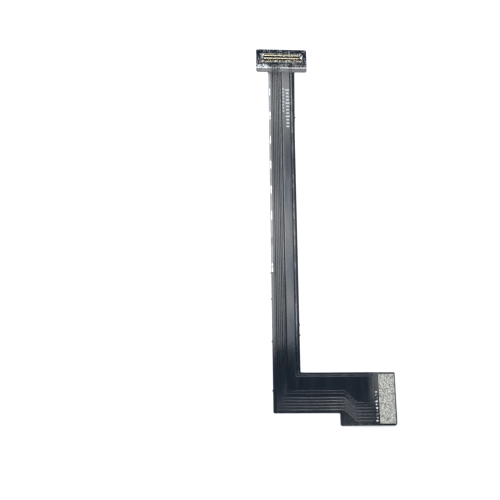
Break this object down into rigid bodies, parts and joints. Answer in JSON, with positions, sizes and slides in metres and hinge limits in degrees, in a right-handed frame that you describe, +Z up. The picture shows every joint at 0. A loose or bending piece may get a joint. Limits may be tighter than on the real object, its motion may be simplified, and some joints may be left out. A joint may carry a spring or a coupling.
{
  "type": "flat flexible printed circuit cable",
  "caption": "Flat black flexible circuit: a long strip with a cross-wise connector head, and a side arm that steps out to a wider end with a speckled metal stiffener.",
  "frame": {"origin": "on the table under the middle of the whole cable", "axes": "+Z up from the table, +Y along the strip towards the connector head, +X towards the wide end of the side arm"},
  "size_m": [0.0374, 0.1128, 0.0012],
  "materials": {
    "cover_film": "black polyimide film, satin",
    "shield_film": "semi-gloss black shield film with a faint blue cast",
    "bonding_sheet": "thin amber adhesive sheet",
    "copper": "etched copper foil",
    "gold_plating": "thin gold plating",
    "tin_plating": "bright tin",
    "speckled_metal": "rough speckled metal sheet",
    "stiffener_metal": "plain rolled steel sheet",
    "moulding": "black glass-filled moulding"
  },
  "bodies": {
    "root": {"base_film": "cover_film", "ground_rail_left": "copper", "ground_rail_right": "copper", "guard_line": "copper", "head_bonding_sheet": "bonding_sheet", "head_connector_housing": "moulding", "head_contacts_far_row": "gold_plating", "head_contacts_near_row": "gold_plating", "head_hold_down_1": "tin_plating", "head_hold_down_2": "tin_plating", "head_solder_joints": "tin_plating", "head_solder_lands": "gold_plating", "head_stiffener": "stiffener_metal", "lower_cover_film": "cover_film", "power_plane": "copper", "rail_contact_pads": "tin_plating", "shield_film": "shield_film", "signal_line_1": "copper", "signal_line_2": "copper", "signal_line_3": "copper", "signal_line_4": "copper", "signal_line_5": "copper", "tail_bonding_sheet": "bonding_sheet", "tail_connector_housing": "moulding", "tail_contacts_inner_row": "gold_plating", "tail_contacts_outer_row": "gold_plating", "tail_hold_down_1": "tin_plating", "tail_hold_down_2": "tin_plating", "tail_solder_joints": "tin_plating", "tail_solder_lands": "gold_plating", "tail_stiffener": "speckled_metal", "terminal_lands": "tin_plating", "upper_cover_film": "cover_film"}
  },
  "joints": []
}
